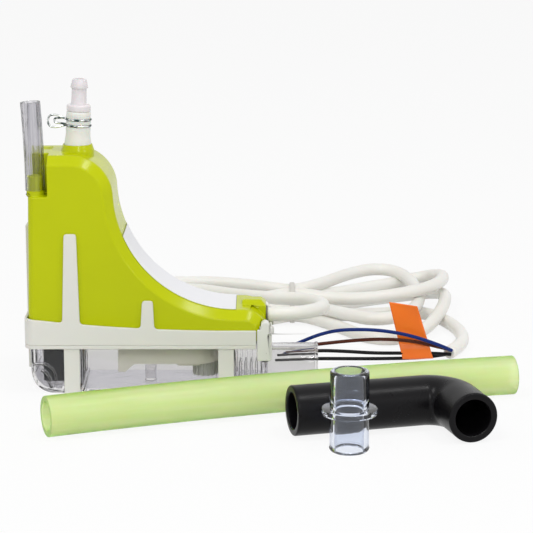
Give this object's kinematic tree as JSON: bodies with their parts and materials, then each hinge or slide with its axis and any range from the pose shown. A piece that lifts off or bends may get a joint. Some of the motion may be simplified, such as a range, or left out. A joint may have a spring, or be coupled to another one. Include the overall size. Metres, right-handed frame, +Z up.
{
  "type": "condensate pump",
  "caption": "Small float-operated pump for condensate: an L-shaped head on a clear reservoir in a soft cradle, with coiled mains lead, drain hose, rubber elbow and connector",
  "frame": {"origin": "On the floor under the middle of the pump's reservoir, on the plane of its flat underside", "axes": "+X from the pump's tall end to its inlet spigot, +Y to its back, +Z up"},
  "size_m": [0.2191, 0.2771, 0.139],
  "materials": {
    "clear_plastic": "clear moulded plastic with a light grey-green tint",
    "white_rubber": "matt off-white elastomer",
    "cable_white": "smooth white vinyl sheath",
    "tie": "white nylon",
    "wire_blue": "blue vinyl insulation",
    "wire_brown": "brown vinyl insulation",
    "wire_black": "black vinyl insulation",
    "orange_label": "orange satin film",
    "green_plastic": "satin lime green moulded plastic with a faint grain",
    "label": "blank satin white label plate",
    "clear_vinyl": "clear flexible vinyl",
    "silicone": "translucent white silicone rubber",
    "white_acetal": "smooth white acetal",
    "spring_steel": "bright zinc-plated spring wire",
    "black_rubber": "matt black rubber",
    "pin_steel": "plain steel",
    "cream_plastic": "cream moulded plastic",
    "seal_rubber": "grey foam rubber",
    "grey_plastic": "grey moulded plastic",
    "screw_steel": "zinc-plated steel",
    "yoke_steel": "zinc-plated sheet steel",
    "bobbin_plastic": "black glass-filled nylon",
    "winding": "varnished copper wire",
    "brass": "turned brass",
    "board": "green glass-epoxy board",
    "components": "black component cases",
    "white_plastic": "satin white moulded plastic",
    "foam": "black closed-cell foam",
    "magnet": "bare ferrite",
    "plunger_steel": "ground magnetic stainless steel",
    "hose": "lime green flexible vinyl"
  },
  "bodies": {
    "root": {"reservoir_tray": "clear_plastic", "cradle": "white_rubber", "cable_coil": "cable_white", "cable_tail": "cable_white", "cable_tie": "tie", "wire_blue": "wire_blue", "wire_brown": "wire_brown", "wire_black_a": "wire_black", "wire_black_b": "wire_black", "marker_flag": "orange_label"},
    "pump_head": {"housing_shell": "green_plastic", "label_plate": "label", "vent_tube": "clear_vinyl", "discharge_sleeve": "silicone", "discharge_barb": "white_acetal", "spring_clip": "spring_steel", "cable_bush": "black_rubber", "clip_pins": "pin_steel", "base_plate": "cream_plastic", "base_seal": "seal_rubber", "inlet_strainer": "grey_plastic", "base_screws": "screw_steel", "yoke_frame": "yoke_steel", "coil_bobbin": "bobbin_plastic", "coil_winding": "winding", "pump_barrel": "brass", "inlet_valve": "white_acetal", "outlet_valve": "white_acetal", "lower_mount": "black_rubber", "upper_mount": "black_rubber", "lower_spring": "spring_steel", "upper_spring": "spring_steel", "inlet_tube": "silicone", "control_board": "board", "board_components": "components", "board_screws": "screw_steel", "hall_sensor": "components", "thermal_cutout": "components", "cable_lead": "cable_white"},
    "clip": {"reservoir_clip": "white_plastic"},
    "float": {"float_block": "foam", "float_magnet": "magnet"},
    "plunger": {"plunger": "plunger_steel"},
    "drain_hose": {"drain_hose": "hose"},
    "rubber_elbow": {"rubber_elbow": "black_rubber"},
    "hose_connector": {"hose_connector": "clear_plastic"}
  },
  "joints": [
    {"name": "head_lift", "type": "slide", "parent": "root", "child": "pump_head", "axis": [0, 0, 1], "range_m": [0, 0.04]},
    {"name": "clip_turn", "type": "hinge", "parent": "pump_head", "child": "clip", "pos_m": [0.0524, 0, 0.0314], "axis": [0, -1, 0], "range_deg": [0, 48.5]},
    {"name": "float_rise", "type": "slide", "parent": "root", "child": "float", "axis": [0, 0, 1], "range_m": [0, 0.008]},
    {"name": "plunger_stroke", "type": "slide", "parent": "pump_head", "child": "plunger", "axis": [0, 0, 1], "range_m": [-0.003, 0.003], "stiffness_N_per_m": 1000, "deforming": ["lower_spring", "upper_spring"]},
    {"name": "hose_lift", "type": "slide", "parent": "root", "child": "drain_hose", "axis": [0, 0, 1], "range_m": [0, 0.1]},
    {"name": "elbow_lift", "type": "slide", "parent": "root", "child": "rubber_elbow", "axis": [0, 0, 1], "range_m": [0, 0.1]},
    {"name": "connector_lift", "type": "slide", "parent": "root", "child": "hose_connector", "axis": [0, 0, 1], "range_m": [0, 0.1]}
  ],
  "couplings": [
    {"joint": "clip_turn", "follows": "head_lift", "rad_per_m": 20.944}
  ]
}
